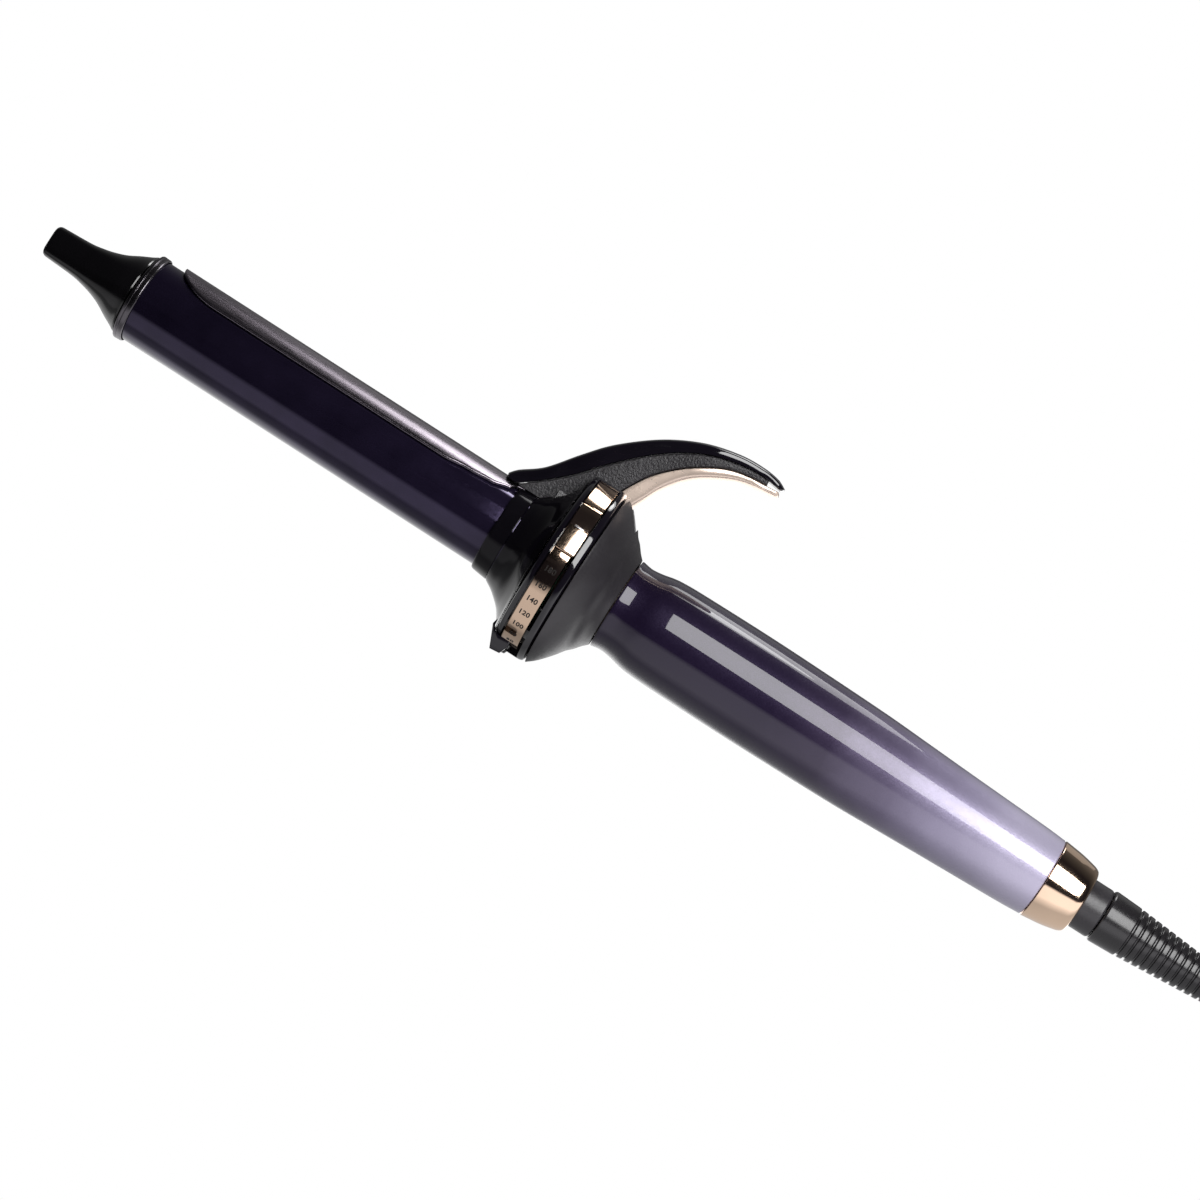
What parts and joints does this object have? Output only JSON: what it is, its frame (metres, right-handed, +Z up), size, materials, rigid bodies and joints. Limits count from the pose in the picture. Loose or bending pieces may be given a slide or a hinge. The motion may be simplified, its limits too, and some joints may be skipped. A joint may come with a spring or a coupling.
{
  "type": "curling iron",
  "caption": "Hair curling iron with a round heated barrel, spring clip and curved thumb lever, a heat slider round the flared collar, tapered handle and swivel cord.",
  "frame": {"origin": "point of the standing surface under the middle of the iron's own box, without the cord and plug", "axes": "+X along the floor towards the cord, +Z up, +Y away from the side that carries the heat scale; the iron leans 6.02 degrees on its two feet and end ring, cool tip up"},
  "size_m": [0.6942, 0.0634, 0.0834],
  "materials": {
    "gloss_black": "high gloss black moulding",
    "satin_black": "satin dark grey moulding",
    "textured_black": "finely grained black",
    "purple_metal": "dark metallic purple coating with fine sparkle",
    "clip_metal": "metallic purple-grey coating",
    "rose_gold": "mirror-plated rose gold",
    "purple_paint": "gloss metallic paint fading from near-black purple to lavender",
    "steel": "bright",
    "brass": "plain",
    "aluminium": "extruded",
    "ceramic": "fired ceramic or glass sleeving",
    "phenolic": "heat-proof moulding",
    "board_green": "solder-masked board",
    "inner_plastic": "plain moulding",
    "cord_rubber": "matte black"
  },
  "bodies": {
    "main_body": {"barrel_mount": "phenolic", "barrel_tube": "purple_metal", "board_screw_front": "steel", "board_screw_rear": "steel", "brush_contact_live": "brass", "brush_contact_neutral": "brass", "clip_spring": "steel", "control_board": "board_green", "control_chip": "satin_black", "cool_tip": "gloss_black", "cord_hank": "cord_rubber", "cord_run": "cord_rubber", "cord_tail": "cord_rubber", "cord_tie": "textured_black", "dropper_capacitor": "satin_black", "end_ring": "rose_gold", "film_capacitor": "ceramic", "front_shell": "gloss_black", "handle_chassis": "inner_plastic", "handle_shell": "purple_paint", "heat_spreader_lower": "aluminium", "heat_spreader_upper": "aluminium", "heater_lead_live": "ceramic", "heater_lead_neutral": "ceramic", "heater_spacer": "ceramic", "heater_strip": "ceramic", "hinge_bracket": "steel", "hinge_pin": "steel", "neck_ring": "gloss_black", "plug_blade_far": "brass", "plug_blade_near": "brass", "plug_body": "cord_rubber", "rear_shell": "satin_black", "resistor_track": "board_green", "rim_housing": "gloss_black", "scale_band": "rose_gold", "stand_foot_far": "gloss_black", "stand_foot_near": "gloss_black", "thermal_fuse": "ceramic", "thermistor": "steel", "thermistor_lead": "ceramic", "tip_bezel_ring": "steel", "triac": "satin_black"},
    "clip_lever": {"clip_plate": "clip_metal", "clip_rivet_near": "steel", "clip_rivet_far": "steel", "lever_core": "textured_black", "lever_cap": "gloss_black", "lever_trim": "rose_gold"},
    "heat_slider": {"temperature_slider": "rose_gold", "slider_carrier": "inner_plastic", "slider_wiper": "brass"},
    "cord_swivel": {"swivel_bush": "satin_black", "strain_relief": "cord_rubber", "slip_ring_core": "inner_plastic", "slip_ring_live": "brass", "slip_ring_neutral": "brass"}
  },
  "joints": [
    {"name": "clip_hinge", "type": "hinge", "parent": "main_body", "child": "clip_lever", "pos_m": [-0.03355, 0, 0.04744], "axis": [0, 1, 0], "range_deg": [0, 15], "stiffness_Nm_per_rad": 0.76, "springref_deg": -11.46},
    {"name": "heat_slide", "type": "hinge", "parent": "main_body", "child": "heat_slider", "pos_m": [-0.02628, 0, 0.03058], "axis": [0.9945, 0, -0.1049], "range_deg": [0, 80]},
    {"name": "cord_turn", "type": "hinge", "parent": "main_body", "child": "cord_swivel", "pos_m": [0.15869, 0, 0.01108], "axis": [0.9945, 0, -0.1049], "continuous": true}
  ]
}
